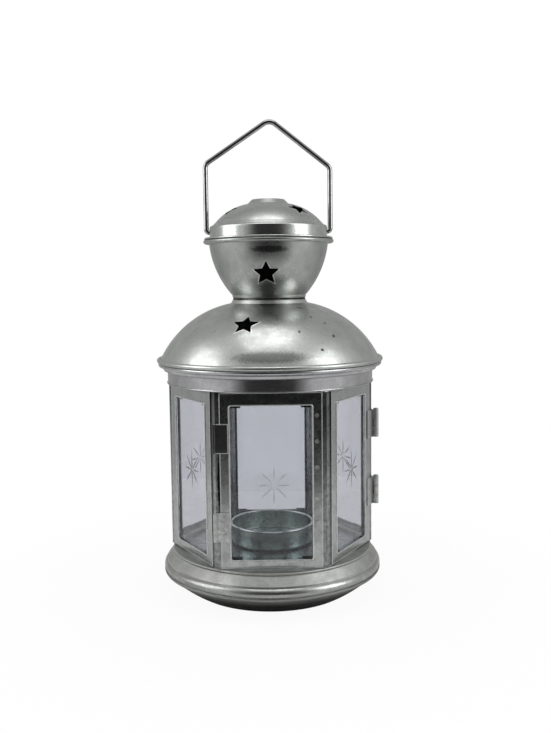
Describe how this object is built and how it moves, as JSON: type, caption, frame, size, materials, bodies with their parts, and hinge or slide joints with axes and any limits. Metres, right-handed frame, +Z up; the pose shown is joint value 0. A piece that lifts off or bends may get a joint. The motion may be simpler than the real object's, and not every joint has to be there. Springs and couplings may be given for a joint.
{
  "type": "lantern",
  "caption": "Hexagonal punched tin lantern for a tealight: cut-star glass windows, hinged corner door, stepped round base, domed roof, chimney bowl with lid, swinging wire bail.",
  "frame": {"origin": "on the table, at the centre of the round base, under the lantern's axis", "axes": "+Z up along the lantern's axis; -Y out of the front window, the one with the spring clips at its edge; +X towards the door's hinges and along the bail's pivot line"},
  "size_m": [0.1198, 0.1198, 0.2483],
  "materials": {
    "tinned_sheet": "satin, mottled",
    "cup_sheet": "satin",
    "fastener_steel": "satin",
    "bail_wire": "bright drawn wire",
    "window_glass": "clear, with cut star"
  },
  "bodies": {
    "lantern": {"base_pan": "tinned_sheet", "base_plinth": "tinned_sheet", "floor_plate": "tinned_sheet", "cup": "cup_sheet", "cup_rivet": "fastener_steel", "post_front_left": "tinned_sheet", "post_left": "tinned_sheet", "post_rear_left": "tinned_sheet", "post_rear_right": "tinned_sheet", "post_hinge": "tinned_sheet", "frame_left_front": "tinned_sheet", "frame_left_rear": "tinned_sheet", "frame_rear": "tinned_sheet", "frame_right_rear": "tinned_sheet", "pane_left_front": "window_glass", "pane_left_rear": "window_glass", "pane_rear": "window_glass", "pane_right_rear": "window_glass", "upper_hinge_body_leaf": "tinned_sheet", "upper_hinge_pin": "fastener_steel", "lower_hinge_body_leaf": "tinned_sheet", "lower_hinge_pin": "fastener_steel", "top_band": "tinned_sheet", "eave_ring": "tinned_sheet", "roof": "tinned_sheet", "chimney_bowl": "tinned_sheet", "lid": "tinned_sheet"},
    "door": {"door_frame_front": "tinned_sheet", "door_frame_side": "tinned_sheet", "door_post": "tinned_sheet", "pane_door_front": "window_glass", "pane_door_side": "window_glass", "door_clinches": "fastener_steel", "upper_clip": "tinned_sheet", "lower_clip": "tinned_sheet", "clip_rivets": "fastener_steel", "upper_hinge_door_leaf": "tinned_sheet", "lower_hinge_door_leaf": "tinned_sheet"},
    "bail": {"bail": "bail_wire"}
  },
  "joints": [
    {"name": "door_hinge", "type": "hinge", "parent": "lantern", "child": "door", "pos_m": [0.05665, 0, 0.0695], "axis": [0, 0, 1], "range_deg": [0, 110]},
    {"name": "bail_pivot", "type": "hinge", "parent": "lantern", "child": "bail", "pos_m": [0, 0, 0.1903], "axis": [1, 0, 0], "range_deg": [-97, 97]}
  ]
}
